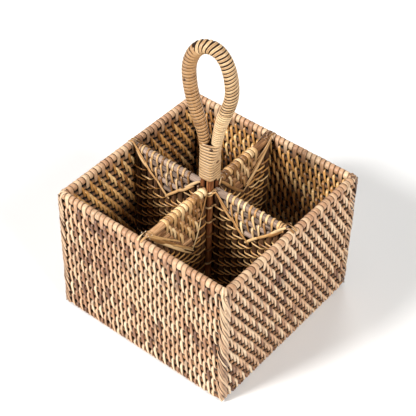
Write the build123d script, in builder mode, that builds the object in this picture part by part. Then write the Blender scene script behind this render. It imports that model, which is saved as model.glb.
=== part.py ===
"""Rattan cutlery holder: a square basket of stacked rods bound with split cane, with crossed dividers
between four compartments, a cluster of centre posts and a whipped loop handle. Millimetres, +Z up,
origin at the middle of the base. The front wall faces -Y and the right wall faces +X."""
import os
from math import cos, dist, floor, pi, radians, sin, sqrt, tan

from build123d import *

os.makedirs("parts", exist_ok=True)

# Rod and cane, the two stocks that the basket is made from
rod_diameter = 7.0
rod_gap = 0.75  # between the courses of a wall, where the stitches pass through
cane_width = 3.0
cane_thickness = 0.8
cane_clearance = 0.1  # from a strip of cane to the rod that it lies on
stitch_pitch = 5.05  # from one column of stitches to the next
seat_clearance = 0.1  # between pieces that butt against each other

# Basket
basket_width = 189.0  # over the cane of two opposite walls
course_count = 18  # rods in a wall, with the rim
corner_cane_leg = 12.0  # how far a corner binding runs along each wall

# Dividers
frame_count = 5  # mitred frames in each half panel, about one centre stick
lashing_width = 5.0

# Centre posts
post_diameter = 6.4
post_spacing = 6.8
tie_count = 6
tie_pitch = 20.0
tie_sweep = 140.0  # degrees of a post's round that a tie covers

# Handle
handle_rod_diameter = 7.0
handle_yaw = 19.5  # degrees from the front wall's direction
handle_lean = 2.0  # degrees to the left
foot_spacing = 7.1  # between the legs where they stand on the posts
neck_spacing = 11.8  # between the legs at the top of the neck
leg_height = 22.0  # of the legs inside the neck, from the posts to its top
neck_rise = 50.35  # from the rim to the top of the neck
belly_half_width = 18.75
belly_rise = 66.8  # from the top of the neck to the widest part of the loop
crown_rise = 95.2  # from the top of the neck to the middle of the rod at the crown

# Handle whippings and neck binding
whip_diameter = 2.3
whip_clearance = 0.15  # from a winding to the rods inside it
right_turns = 24
left_turns = 19
whip_start_share = 0.035  # where the right whipping starts, of the loop above the neck
whip_meet_share = 0.555  # where the two whippings meet
whip_end_share = 0.965  # where the left whipping ends
whip_meet_gap = 3.0  # between the two whippings at their meeting
neck_whip_diameter = 1.4
neck_turns = 14
neck_binding_lift = 8.35  # from the rim to the lowest turn
neck_binding_inset = 2.0  # from the highest turn to the top of the neck
neck_top_depth = 1.6  # straight side of the binding at its top, across the loop

# Places that follow from the sizes
rod_radius = rod_diameter / 2
course_pitch = rod_diameter + rod_gap
cane_build = cane_clearance + cane_thickness
wall_line = basket_width / 2 - cane_build - rod_radius
wall_inside = wall_line - rod_radius - cane_build
bottom_line = cane_build + rod_radius
rim_line = bottom_line + (course_count - 1) * course_pitch
rim_top = rim_line + rod_radius
base_top = bottom_line + rod_radius + cane_build
neck_height = rim_top + neck_rise
post_height = neck_height - leg_height
belly_height = neck_height + belly_rise
crown_height = neck_height + crown_rise
neck_binding_bottom = rim_top + neck_binding_lift
neck_binding_top = neck_height - neck_binding_inset
reach = wall_line + rod_diameter
post_radius = post_diameter / 2
sides = ("front", "right", "back", "left")
corners = ("front_right", "back_right", "back_left", "front_left")
quarter = 90.0


def keep(piece, name):
    """Name a finished piece and write it."""
    piece.label = name
    export_step(piece, f"parts/{name}.step")


def keep_each(first_piece, places, ending):
    """Write a piece that repeats on the four sides or corners, made once at the first of them."""
    for turn, place in enumerate(places):
        with BuildPart() as turned:
            add(first_piece, rotation=(0, 0, turn * quarter))
        keep(turned.part, f"{place}_{ending}")


def columns(half_length):
    """Places of the stitch columns that fit along a straight run, about its middle."""
    count = floor(2 * half_length / stitch_pitch)
    return [(column - (count - 1) / 2) * stitch_pitch for column in range(count)]


def arch(radius, left_drop, right_drop):
    """Outline of a strip of cane laid over a rod, with each end hanging down by its drop."""
    inner = radius + cane_clearance
    outer = inner + cane_thickness
    with BuildLine() as outline:
        Polyline((-inner, 0), (-inner, -left_drop), (-outer, -left_drop), (-outer, 0))
        ThreePointArc((-outer, 0), (0, outer), (outer, 0))
        Polyline((outer, 0), (outer, -right_drop), (inner, -right_drop), (inner, 0))
        ThreePointArc((inner, 0), (0, inner), (-inner, 0))
    make_face(outline.edges())


def front_sector(height):
    """Keep only what lies between the two mitre planes of the front side."""
    with BuildSketch() as sector:
        Polygon((0, 0), (reach, -reach), (-reach, -reach), align=None)
    extrude(sector.sketch, amount=height, mode=Mode.INTERSECT)


# Walls: straight rods in courses, mitred against those of the next wall at each corner
with BuildPart() as wall_rods:
    course_lines = [bottom_line + course * course_pitch for course in range(course_count - 1)]
    with Locations(*[(0, -wall_line, line) for line in course_lines]):
        Cylinder(rod_radius, 2 * reach, rotation=(0, quarter, 0))
    front_sector(rim_top)
keep_each(wall_rods.part, sides, "wall_rods")

# Rim: the top course, a rod of its own on each side
with BuildPart() as rim_rod:
    with Locations((0, -wall_line, rim_line)):
        Cylinder(rod_radius, 2 * reach, rotation=(0, quarter, 0))
    front_sector(rim_top)
keep_each(rim_rod.part, sides, "rim_rod")

# Wall cane: each column of stitches goes up the outside, over the rim and down the inside
with BuildPart() as wall_strip:
    with BuildSketch(Plane((0, -wall_line, rim_line), x_dir=(0, 1, 0), z_dir=(1, 0, 0))):
        arch(rod_radius, rim_line - bottom_line, rim_line - base_top - seat_clearance)
    extrude(amount=cane_width / 2, both=True)
with BuildPart() as wall_cane:
    with Locations(*[(x, 0, 0) for x in columns(wall_line - corner_cane_leg)]):
        add(wall_strip.part)
keep_each(wall_cane.part, sides, "wall_cane")

# Corner cane: the binding that wraps each upright corner from outside
with BuildPart() as corner_cane:
    outside = basket_width / 2
    inside = outside - cane_thickness
    leg_end = outside - corner_cane_leg
    with BuildSketch(Plane.XY.offset(bottom_line)):
        Polygon(
            (outside, -outside), (outside, -leg_end), (inside, -leg_end),
            (inside, -inside), (leg_end, -inside), (leg_end, -outside), align=None,
        )
    extrude(amount=rim_line - bottom_line)
    outer_edge = corner_cane.edges().filter_by(Axis.Z).sort_by(Axis((0, 0, 0), (1, -1, 0)))[-1]
    fillet(outer_edge, cane_thickness)
keep_each(corner_cane.part, corners, "corner_cane")

# Base: mitred squares of rod inside the lowest course
with BuildPart() as base_quarter:
    square_count = floor((wall_line - rod_radius) / course_pitch)
    square_lines = [wall_line - (square + 1) * course_pitch for square in range(square_count)]
    with Locations(*[(0, -line, bottom_line) for line in square_lines]):
        Cylinder(rod_radius, 2 * reach, rotation=(0, quarter, 0))
    front_sector(rim_top)
with BuildPart() as base_rods:
    with PolarLocations(0, len(sides)):
        add(base_quarter.part)
keep(base_rods.part, "base_rods")

# Base cane: strips across the rods of each mitred quarter, under the base and over it
with BuildPart() as base_cane_quarter:
    for x in columns(wall_inside):
        inner_end = abs(x) + cane_width
        layers = ((wall_line, cane_thickness / 2), (wall_inside, base_top - cane_thickness / 2))
        for outer_end, height in layers:
            if outer_end - inner_end > rod_diameter:
                with Locations((x, -(outer_end + inner_end) / 2, height)):
                    Box(cane_width, outer_end - inner_end, cane_thickness)
with BuildPart() as base_cane:
    with PolarLocations(0, len(sides)):
        add(base_cane_quarter.part)
keep(base_cane.part, "base_cane")

# Divider half panels: made on the upright plane from the axis to the front wall
panel_plane = Plane((0, 0, 0), x_dir=(0, -1, 0), z_dir=(-1, 0, 0))
panel_near = post_spacing / 2 + post_radius + seat_clearance
panel_far = wall_inside - seat_clearance
panel_low = base_top + seat_clearance
panel_high = rim_top
panel_width = panel_far - panel_near
panel_middle = (panel_far + panel_near) / 2
panel_half = panel_width / 2
frame_pitch = panel_width / (2 * frame_count + 1)
insets = [(frame + 1 / 2) * frame_pitch for frame in range(frame_count)]
top_near, top_far = (panel_near, panel_high), (panel_far, panel_high)
low_near, low_far = (panel_near, panel_low), (panel_far, panel_low)
top_apex = (panel_middle, panel_high - panel_half)
low_apex = (panel_middle, panel_low + panel_half)

with BuildPart(panel_plane) as top_sticks:
    with Locations(*[(panel_middle, panel_high - inset) for inset in insets]):
        Cylinder(rod_radius, panel_width, rotation=(0, quarter, 0))
    with Locations(*[(panel_middle, panel_low + inset) for inset in insets]):
        Cylinder(rod_radius, panel_width, rotation=(0, quarter, 0))
    with BuildSketch(panel_plane):
        Polygon(top_near, top_apex, top_far, align=None)
        Polygon(low_near, low_far, low_apex, align=None)
    extrude(amount=rod_diameter, both=True, mode=Mode.INTERSECT)

with BuildPart(panel_plane) as side_sticks:
    upright_places = [panel_near + inset for inset in insets] + [panel_far - inset for inset in insets]
    with Locations(*[(place, (panel_high + panel_low) / 2) for place in upright_places]):
        Cylinder(rod_radius, panel_high - panel_low, rotation=(quarter, 0, 0))
    with BuildSketch(panel_plane):
        Polygon(low_near, low_apex, top_apex, top_near, align=None)
        Polygon(top_far, top_apex, low_apex, low_far, align=None)
    extrude(amount=rod_diameter, both=True, mode=Mode.INTERSECT)

with BuildPart(panel_plane) as centre_stick:
    stick_end_inset = frame_count * frame_pitch + seat_clearance
    with Locations((panel_middle, (panel_high + panel_low) / 2)):
        Cylinder(rod_radius, panel_high - panel_low - 2 * stick_end_inset, rotation=(quarter, 0, 0))

with BuildPart() as divider_rods:
    add(top_sticks.part)
    add(side_sticks.part)
    add(centre_stick.part)
keep_each(divider_rods.part, sides, "divider_rods")

# Divider cane: arches over the rail, rows along the side sticks and a diagonal strip on each mitre
face_offset = rod_radius + cane_clearance + cane_thickness / 2
mitre_room = cane_width * (1 + sqrt(2)) / 2 + cane_clearance
rail_line = panel_high - insets[0]
mid_height = (panel_high + panel_low) / 2

with BuildPart(panel_plane) as cane_rows:
    row_count = floor((panel_high - mid_height) / stitch_pitch)
    for row in range(row_count):
        height = mid_height + (row + 1 / 2) * stitch_pitch
        below_top = panel_high - height
        start = panel_near + insets[0]
        end = panel_near + min(below_top, panel_half) - mitre_room
        if below_top > panel_half + mitre_room:
            end = panel_middle
        if end - start > cane_width:
            with Locations(((start + end) / 2, height, face_offset)):
                Box(end - start, cane_width, cane_thickness)
    mitre_start = lashing_width + 2 * mitre_room
    mitre_end = panel_half - cane_width
    mitre_inset = (mitre_start + mitre_end) / 2
    with Locations((panel_near + mitre_inset, panel_high - mitre_inset, face_offset)):
        mitre_length = (mitre_end - mitre_start) * sqrt(2)
        Box(mitre_length, cane_width, cane_thickness, rotation=(0, 0, -quarter / 2))
    mirror(about=Plane.XY.offset(mid_height))
    mirror(about=Plane.YZ)

with BuildPart(panel_plane) as cane_arches:
    for place in columns(panel_half):
        drop = panel_half + place - insets[0] - mitre_room
        if place < 0 < drop - insets[0]:
            across_rail = Plane((0, -panel_middle - place, rail_line), x_dir=(1, 0, 0), z_dir=(0, -1, 0))
            with BuildSketch(across_rail):
                arch(rod_radius, drop, drop)
            extrude(amount=cane_width / 2, both=True)
            low_middle = panel_low + insets[0] + drop / 2
            for offset in (face_offset, -face_offset):
                with Locations((panel_middle + place, low_middle, offset)):
                    Box(cane_width, drop, cane_thickness)

with BuildPart() as divider_cane:
    add(cane_rows.part)
    add(cane_arches.part)
    mirror(about=Plane.XZ.offset(panel_middle))
keep_each(divider_cane.part, sides, "divider_cane")

# Rail lashings: a wide band of cane at the wall end of each rail
with BuildPart() as rail_lashing:
    with BuildSketch(Plane((0, -panel_far + lashing_width, rail_line), x_dir=(1, 0, 0), z_dir=(0, -1, 0))):
        arch(rod_radius, cane_width, cane_width)
    extrude(amount=lashing_width / 2, both=True)
keep_each(rail_lashing.part, sides, "rail_lashing")

# Centre posts: one rod in the inner corner of each compartment, from the base up into the neck
with BuildPart() as post:
    with BuildSketch(Plane.XY.offset(base_top)):
        with Locations((post_spacing / 2, -post_spacing / 2)):
            Circle(post_radius)
    extrude(amount=post_height - base_top)
keep_each(post.part, corners, "post")

# Post ties: strips of cane round the open side of each post
with BuildPart() as tie:
    with BuildSketch(Plane.XY.offset(rim_line - rod_diameter)):
        with BuildLine():
            CenterArc(
                (post_spacing / 2, -post_spacing / 2), post_radius + cane_clearance + cane_thickness / 2,
                -(quarter + tie_sweep) / 2, tie_sweep,
            )
        trace(line_width=cane_thickness)
    extrude(amount=cane_width)
with BuildPart() as post_ties:
    with Locations(*[(0, 0, -level * tie_pitch) for level in range(tie_count)]):
        add(tie.part)
    with PolarLocations(0, len(corners)):
        add(post_ties.part)
keep(post_ties.part, "post_ties")

# Handle loop: one rod from the left leg over the crown to the right leg, in a yawed, leaning plane
yaw = radians(handle_yaw)
lean = radians(handle_lean)
loop_right = Vector(cos(yaw), sin(yaw), 0)
loop_up = Vector(0, 0, 1)
loop_normal = loop_right.cross(loop_up)
handle_rod_radius = handle_rod_diameter / 2


def on_loop(across, height):
    """A point of the loop's plane, with its lean above the neck."""
    shift = tan(lean) * max(height - neck_height, 0)
    return loop_right * (across - shift) + loop_up * height


def biarc(start, start_way, end, end_way):
    """Two arcs, tangent to each other and to the ways in which the line leaves and arrives."""
    chord = end - start
    along = chord.dot(start_way + end_way)
    turn = 2 * (1 - start_way.dot(end_way))
    arm = (sqrt(along**2 + turn * chord.dot(chord)) - along) / turn
    start_arm = start + start_way * arm
    end_arm = end - end_way * arm
    joint = (start_arm + end_arm) / 2
    TangentArc(start, joint, tangent=start_way)
    TangentArc(joint, end, tangent=end_arm - start_arm)


foot_right = on_loop(foot_spacing / 2, post_height)
neck_right = on_loop(neck_spacing / 2, neck_height)
neck_left = on_loop(-neck_spacing / 2, neck_height)
foot_left = on_loop(-foot_spacing / 2, post_height)
belly_right = on_loop(belly_half_width, belly_height)
belly_left = on_loop(-belly_half_width, belly_height)
crown = on_loop(0, crown_height)
leg_up = (neck_right - foot_right).normalized()
leg_down = (foot_left - neck_left).normalized()
belly_up = loop_up * cos(lean) - loop_right * sin(lean)
crown_left = -loop_right * cos(lean) - loop_up * sin(lean)

with BuildLine() as loop_line:
    biarc(neck_right, leg_up, belly_right, belly_up)
    biarc(belly_right, belly_up, crown, crown_left)
    biarc(crown, crown_left, belly_left, -belly_up)
    biarc(belly_left, -belly_up, neck_left, leg_down)
loop_wire = loop_line.wire()

with BuildPart() as handle_loop:
    with BuildLine() as handle_line:
        Line(foot_right - leg_up * handle_rod_diameter, neck_right)
        add(loop_line.line)
        Line(neck_left, foot_left + leg_down * handle_rod_diameter)
    with BuildSketch(Plane(handle_line.wire() @ 0, z_dir=leg_up)):
        Circle(handle_rod_radius)
    sweep()
    split(bisect_by=Plane.XY.offset(post_height), keep=Keep.TOP)
keep(handle_loop.part, "handle_loop")


def least_gap(line, turns, thickness):
    """The least gap between one turn of a winding and the others, on points along its line."""
    turn_points = 24
    shares = [step / (turns * turn_points) for step in range(turns * turn_points)]
    points = [tuple(point) for point in line.positions(shares)]
    half_turn = turn_points // 2
    spans = [dist(point, other) for index, point in enumerate(points) for other in points[index + half_turn:]]
    return min(spans) - thickness


def wind(name, thickness, turns, places, ways, side_lines):
    """One tube through the places of a winding, with a straight end one diameter long at each end."""
    with BuildPart() as winding:
        with BuildLine() as winding_line:
            Line(places[0] - ways[0] * thickness, places[0])
            for step in range(len(places) - 1):
                if side_lines and step % 2 == 0:
                    Line(places[step], places[step + 1])
                else:
                    biarc(places[step], ways[step], places[step + 1], ways[step + 1])
            Line(places[-1], places[-1] + ways[-1] * thickness)
        wire = winding_line.wire()
        with BuildSketch(Plane(wire @ 0, z_dir=wire % 0)):
            Circle(thickness / 2)
        sweep()
    print(f"{name}: least gap to itself {least_gap(wire, turns, thickness):.2f} mm")
    keep(winding.part, name)


# Handle whippings: a winding of cane up the right leg and over the crown, another on the left leg
whip_line = handle_rod_radius + whip_clearance + whip_diameter / 2
meet_gap_share = whip_meet_gap / loop_wire.length


def whip_point(share, start, end, turns):
    """A point of a winding round the loop, part of the way along it."""
    angle = 2 * pi * turns * (share - start) / (end - start)
    outward = (loop_wire % share).cross(loop_normal)
    return loop_wire @ share + (outward * cos(angle) + loop_normal * sin(angle)) * whip_line


def whip(name, start, end, turns):
    """Wind the loop from one share of its length to another, in half turns."""
    half_turn_share = (end - start) / (2 * turns)
    slight_share = half_turn_share / 50
    shares = [start + step * half_turn_share for step in range(2 * turns + 1)]
    places = [whip_point(share, start, end, turns) for share in shares]
    ways = []
    for share in shares:
        ahead = whip_point(share + slight_share, start, end, turns)
        behind = whip_point(share - slight_share, start, end, turns)
        ways.append((ahead - behind).normalized())
    wind(name, whip_diameter, turns, places, ways, False)


whip("right_handle_whipping", whip_start_share, whip_meet_share, right_turns)
whip("left_handle_whipping", whip_meet_share + meet_gap_share, whip_end_share, left_turns)

# Neck binding: a winding whose turns change from the square of posts to the pair of legs
neck_corner_radius = handle_rod_radius + whip_clearance + neck_whip_diameter / 2
neck_quarters = 4 * neck_turns


def neck_point(step, end_of_side):
    """Where a straight side of the neck binding starts or ends, counted in quarter turns."""
    rise_share = (step + end_of_side / 2) / neck_quarters
    height = neck_binding_bottom + rise_share * (neck_binding_top - neck_binding_bottom)
    blend_share = max(height - post_height, 0) / (neck_height - post_height)
    half_width = (post_spacing + blend_share * (neck_spacing - post_spacing)) / 2
    half_depth = (post_spacing + blend_share * (neck_top_depth - post_spacing)) / 2
    half_side, side_place = (half_width, half_depth) if step % 2 == 0 else (half_depth, half_width)
    place = Vector(half_side * (2 * end_of_side - 1), -side_place - neck_corner_radius, height)
    return place.rotate(Axis.Z, step * quarter + blend_share * handle_yaw)


neck_places = [neck_point(step, end) for step in range(neck_quarters) for end in (0, 1)]
neck_ways = []
for side_start, side_end in zip(neck_places[::2], neck_places[1::2]):
    neck_ways += [(side_end - side_start).normalized()] * 2
wind("neck_binding", neck_whip_diameter, neck_turns, neck_places, neck_ways, True)
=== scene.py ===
"""Looks of a rattan cutlery holder: rods of rattan core bound with split cane, in metres, +Z up.
The front wall faces -Y and the right wall faces +X."""
from math import copysign, cos, pi, radians, sin, sqrt, tan
from random import Random

import bpy
from mathutils import Matrix, Vector
from mathutils.geometry import interpolate_bezier


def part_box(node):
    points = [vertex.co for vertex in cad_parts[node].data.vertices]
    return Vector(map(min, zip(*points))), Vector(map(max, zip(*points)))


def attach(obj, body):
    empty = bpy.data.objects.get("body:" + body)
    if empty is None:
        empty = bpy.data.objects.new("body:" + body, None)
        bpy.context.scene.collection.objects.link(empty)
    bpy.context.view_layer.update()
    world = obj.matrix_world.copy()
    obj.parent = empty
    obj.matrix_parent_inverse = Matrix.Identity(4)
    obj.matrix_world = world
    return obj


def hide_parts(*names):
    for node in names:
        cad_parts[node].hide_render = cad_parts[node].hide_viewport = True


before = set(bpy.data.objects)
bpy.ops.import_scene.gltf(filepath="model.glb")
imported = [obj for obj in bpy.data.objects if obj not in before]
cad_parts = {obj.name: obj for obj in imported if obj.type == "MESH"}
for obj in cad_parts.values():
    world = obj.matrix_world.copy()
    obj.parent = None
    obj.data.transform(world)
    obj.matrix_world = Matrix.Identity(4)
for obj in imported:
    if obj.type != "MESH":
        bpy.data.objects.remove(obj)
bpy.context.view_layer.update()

# Wall rods: straight lengths of rattan core in seventeen courses, mitred where two walls meet.
# Rattan core is the coarse, long-grained pith of a climbing palm. It is stained brown, and painted shade
# darkens it to near black between the courses, where little light reaches.
mm = 0.001
right_angle = pi / 2
sides = ("front", "right", "back", "left")
course_count = 18  # with the rim
squeezed_share = 0.86  # the cane pulls the courses apart and squeezes them thinner
corner_chamfer = 2.2 * mm
inside_shade_scale = 0.87  # the painted seam shade reaches further out of the seams on the inside of a wall
rim_low, rim_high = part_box("front_rim_rod")
rod_radius = (rim_high.z - rim_low.z) / 2
core_radius = squeezed_share * rod_radius
wall_line = -(rim_low.y + rim_high.y) / 2
rim_line = (rim_low.z + rim_high.z) / 2
bottom_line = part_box("front_wall_rods")[0].z + rod_radius
course_pitch = (rim_line - bottom_line) / (course_count - 1)
course_lines = [rim_line - course * course_pitch for course in range(course_count)]
rod_waver_spacing = 22 * mm
wall_rod_seed = 11


def add_node(tree, kind, inputs, **settings):
    """Add a node with its settings, and set each input to a value or link it to a socket or a node."""
    node = tree.nodes.new(kind)
    for name, value in settings.items():
        setattr(node, name, value)
    for key, value in inputs.items():
        if isinstance(value, bpy.types.Node):
            value = next(socket for socket in value.outputs if socket.enabled)
        if isinstance(value, bpy.types.NodeSocket):
            tree.links.new(value, node.inputs[key])
        else:
            node.inputs[key].default_value = value
    return node


def start_tree(name, sizes):
    """A new tree for a mesh, the named sizes, a seed and a finish, with the sockets they arrive on."""
    tree = bpy.data.node_groups.new(name, "GeometryNodeTree")
    for label, kind in {"Mesh": "Geometry", **sizes, "Seed": "Int", "Finish": "Material"}.items():
        tree.interface.new_socket(label, in_out="INPUT", socket_type=f"NodeSocket{kind}")
    tree.interface.new_socket("Mesh", in_out="OUTPUT", socket_type="NodeSocketGeometry")
    return tree, add_node(tree, "NodeGroupInput", {}).outputs


def end_tree(tree, shape, finish):
    """Close a tree with real faces in place of instances, smooth shading and the finish."""
    real = add_node(tree, "GeometryNodeRealizeInstances", {0: shape})
    smooth = add_node(tree, "GeometryNodeSetShadeSmooth", {0: real})
    dressed = add_node(tree, "GeometryNodeSetMaterial", {"Geometry": smooth, "Material": finish})
    add_node(tree, "NodeGroupOutput", {0: dressed})


def waver(tree, shape, amount, spacing):
    """Push each point a little off its place, by a noise as coarse as the spacing."""
    noise = add_node(tree, "ShaderNodeTexNoise", {"Scale": 1 / spacing, "Detail": 1.0}).outputs["Color"]
    centred = add_node(tree, "ShaderNodeVectorMath", {0: noise, 1: (0.5, 0.5, 0.5)}, operation="SUBTRACT")
    push = add_node(tree, "ShaderNodeVectorMath", {0: centred, "Scale": amount}, operation="SCALE")
    return add_node(tree, "GeometryNodeSetPosition", {0: shape, "Offset": push})


def tinted_lines(tree, given):
    """The chains of the mesh that a tree is given, as curves that each have a tint of their own."""
    lines = add_node(tree, "GeometryNodeMeshToCurve", {0: given["Mesh"]})
    shade = add_node(tree, "FunctionNodeRandomValue", {"Seed": given["Seed"]}, data_type="FLOAT")
    return add_node(tree, "GeometryNodeStoreNamedAttribute", {0: lines, "Name": "tint", "Value": shade},
                    data_type="FLOAT", domain="CURVE")


def sweep(tree, line, profile, girth):
    """Sweep a profile along lines, and keep on each point its place in the stock's own grain."""
    length = add_node(tree, "GeometryNodeSplineParameter", {}).outputs["Length"]
    place = add_node(tree, "GeometryNodeInputPosition", {})
    measured = add_node(tree, "GeometryNodeStoreNamedAttribute",
                        {0: line, "Name": "along", "Value": length}, data_type="FLOAT")
    outlined = add_node(tree, "GeometryNodeStoreNamedAttribute",
                        {0: profile, "Name": "side", "Value": place}, data_type="FLOAT_VECTOR")
    swept = add_node(tree, "GeometryNodeCurveToMesh",
                     {0: measured, 1: outlined, "Scale": girth, "Fill Caps": True})
    side = add_node(tree, "GeometryNodeInputNamedAttribute", {"Name": "side"}, data_type="FLOAT_VECTOR")
    along = add_node(tree, "GeometryNodeInputNamedAttribute", {"Name": "along"}, data_type="FLOAT")
    out, across, _ = add_node(tree, "ShaderNodeSeparateXYZ", {0: side}).outputs
    grain = add_node(tree, "ShaderNodeCombineXYZ", {0: out, 1: across, 2: along})
    return add_node(tree, "GeometryNodeStoreNamedAttribute",
                    {0: swept, "Name": "grain", "Value": grain}, data_type="FLOAT_VECTOR")


rod_tree, given = start_tree("rattan_rods", {
    "Radius": "Float", "Sides": "Int", "Step": "Float", "Waver": "Float"})
stepped_rods = add_node(rod_tree, "GeometryNodeResampleCurve",
                        {0: tinted_lines(rod_tree, given), "Length": given["Step"]}, mode="LENGTH")
uneven_rods = waver(rod_tree, stepped_rods, given["Waver"], rod_waver_spacing)
rod_round = add_node(rod_tree, "GeometryNodeCurvePrimitiveCircle",
                     {"Resolution": given["Sides"], "Radius": given["Radius"]})
end_tree(rod_tree, sweep(rod_tree, uneven_rods, rod_round, 1.0), given["Finish"])


def grow(name, mesh, tree, values):
    """Run a tree on a mesh and keep what it makes as a plain mesh, with no modifier left."""
    piece = bpy.data.objects.new(name, mesh)
    bpy.context.scene.collection.objects.link(piece)
    modifier = piece.modifiers.new(tree.name, "NODES")
    modifier.node_group = tree
    for socket in tree.interface.items_tree:
        if socket.name in values:
            modifier[socket.identifier] = values[socket.name]
    depsgraph = bpy.context.evaluated_depsgraph_get()
    grown = bpy.data.meshes.new_from_object(
        piece.evaluated_get(depsgraph), preserve_all_data_layers=True, depsgraph=depsgraph)
    piece.modifiers.remove(modifier)
    piece.data = grown
    return piece


def chains(name, lines):
    """A mesh of bare edges, one chain for each line of points."""
    points = []
    edges = []
    for line in lines:
        edges += [(len(points) + step, len(points) + step + 1) for step in range(len(line) - 1)]
        points += line
    mesh = bpy.data.meshes.new(name)
    mesh.from_pydata(points, edges, [])
    return mesh


def rods(name, lines, radius, finish, seed, corners=12, step=6 * mm, uneven=0.5 * mm):
    """Rods of core along lines, with so many corners to their round and a ring of them every step."""
    return grow(name, chains(name, lines), rod_tree, {
        "Radius": radius, "Sides": corners, "Step": step, "Waver": uneven, "Seed": seed, "Finish": finish})


def between(value, low, high):
    """The value, held between two limits."""
    return min(max(value, low), high)


def shade_depth(piece, depth_of):
    """Keep on each point how far it stands out of the seam between its rods, from 0 to 1, which sets how
    much painted seam shade the core gives it.
    """
    depth = piece.data.attributes.new("crest", "FLOAT", "POINT")
    depth.data.foreach_set("value", [between(depth_of(v.co), 0, 1) for v in piece.data.vertices])


def turned(piece, quarters):
    """Turn a piece's mesh about the middle of the basket, by so many right angles."""
    piece.data.transform(Matrix.Rotation(quarters * right_angle, 4, "Z"))
    return piece


def joined(name, pieces):
    """Several grown pieces as one object."""
    with bpy.context.temp_override(active_object=pieces[0], selected_editable_objects=pieces):
        bpy.ops.object.join()
    pieces[0].name = name
    return pieces[0]


def hand_over(piece, node):
    """Give a finished piece its body and hide the part of the model that it takes the place of."""
    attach(piece, "root")
    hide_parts(node)


def colour(hex_code):
    """An sRGB hex colour as the linear numbers that a shader takes."""
    shares = [int(hex_code[place:place + 2], 16) / 255 for place in (1, 3, 5)]
    linear = [share / 12.92 if share <= 0.04045 else ((share + 0.055) / 1.055) ** 2.4 for share in shares]
    return (*linear, 1.0)


def start_finish(name):
    """A new material with its tree, the place of each point in its stock's grain and the stock's tint."""
    finish = bpy.data.materials.new(name)
    finish.use_nodes = True
    tree = finish.node_tree
    tree.nodes.clear()
    grain = add_node(tree, "ShaderNodeAttribute", {}, attribute_name="grain").outputs["Vector"]
    tint = add_node(tree, "ShaderNodeAttribute", {}, attribute_name="tint").outputs["Fac"]
    return finish, tree, grain, tint


def grain_noise(tree, grain, tint, width, length, detail):
    """A noise drawn out along the grain, as wide and as long as given, and another for each tint."""
    tint_step = 90.0  # takes near tints far apart in the noise
    scale = (1 / width, 1 / width, 1 / length)
    stretched = add_node(tree, "ShaderNodeMapping", {"Vector": grain, "Scale": scale}, vector_type="POINT")
    number = add_node(tree, "ShaderNodeMath", {0: tint, 1: tint_step}, operation="MULTIPLY")
    noise = add_node(tree, "ShaderNodeTexNoise", {
        "Vector": stretched, "W": number, "Scale": 1.0, "Detail": detail}, noise_dimensions="4D")
    return noise.outputs["Fac"]


def tinted_ramp(tree, base, extra, extra_share, stops):
    """Colours by a base value with a share of another one added, from pairs of a place and a hex colour."""
    mixed = add_node(tree, "ShaderNodeMath", {0: extra, 1: extra_share, 2: base}, operation="MULTIPLY_ADD")
    centred = add_node(tree, "ShaderNodeMath", {0: mixed, 1: extra_share / 2}, operation="SUBTRACT")
    ramp = add_node(tree, "ShaderNodeValToRGB", {0: centred})
    elements = ramp.color_ramp.elements
    while len(elements) < len(stops):
        elements.new(0.5)
    for element, (place, hex_code) in zip(elements, stops):
        element.position = place
        element.color = colour(hex_code)
    return ramp


def faded(tree, value, start, end, near, far):
    """A near colour that fades into a far one as a value goes from its start to its end."""
    share = add_node(tree, "ShaderNodeMapRange", {"Value": value, "From Min": start, "From Max": end})
    return add_node(tree, "ShaderNodeMix", {"Factor": share, 6: near, 7: far}, data_type="RGBA")


def end_finish(tree, height, strength, depth, look):
    """Close a material's tree with a surface of this look, raised by a height."""
    bump = add_node(tree, "ShaderNodeBump", {"Strength": strength, "Distance": depth, "Height": height})
    surface = add_node(tree, "ShaderNodeBsdfPrincipled", {**look, "Normal": bump})
    add_node(tree, "ShaderNodeOutputMaterial", {"Surface": surface})


def stained_core(name, hex_codes, seam_shade_hex, roughness):
    """Stained rattan core: open vessels drawn out as streaks, dull sheen, and painted shade that darkens it
    to its seam colour in the seams.
    """
    streak_width = 1.1 * mm  # the vessels are finer, drawn as coarse as they need to show
    streak_length = 14 * mm
    tint_share = 0.3  # of the stain's range that the rods differ by
    stain_places = (0.3, 0.5, 0.72)  # of the streaks' range, where each colour is
    seam_shade_end, crest_start = 0.55, 0.95  # how far out of the seam the painted shade ends and the clear stain starts
    finish, tree, grain, tint = start_finish(name)
    streaks = grain_noise(tree, grain, tint, streak_width, streak_length, detail=3.0)
    stain = tinted_ramp(tree, streaks, tint, tint_share, list(zip(stain_places, hex_codes)))
    # The seam colour is painted shade: the core fades into it as a point goes into the seam between its
    # rods.
    crest = add_node(tree, "ShaderNodeAttribute", {}, attribute_name="crest").outputs["Fac"]
    face = faded(tree, crest, seam_shade_end, crest_start, colour(seam_shade_hex), stain)
    end_finish(tree, streaks, strength=0.5, depth=0.25 * mm, look={
        "Base Color": face, "Roughness": roughness, "IOR": 1.5, "Specular IOR Level": 0.25})
    return finish


# After each core's three stain colours comes its seam colour, the painted shade between its rods.
brown_core = stained_core("stained_brown_core", ("#573521", "#8f6342", "#b98b61"), "#0c0502", 0.6)


def wall_depth(place):
    """How far a point of the front wall stands out of the line of its rods."""
    above_rim = (place.z - rim_line) / core_radius
    inward = (place.y + wall_line) / core_radius
    return max(-inward, inside_shade_scale * inward, above_rim)


def mitred(piece):
    """Cut the ends of a front piece's rods along the mitre planes of its side, with blunted tips."""
    tip_room = 2 * (wall_line + core_radius) - corner_chamfer
    for vertex in piece.data.vertices:
        end = min(abs(vertex.co.y), tip_room - abs(vertex.co.y))
        vertex.co.x = copysign(min(abs(vertex.co.x), end), vertex.co.x)
    return piece


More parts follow.
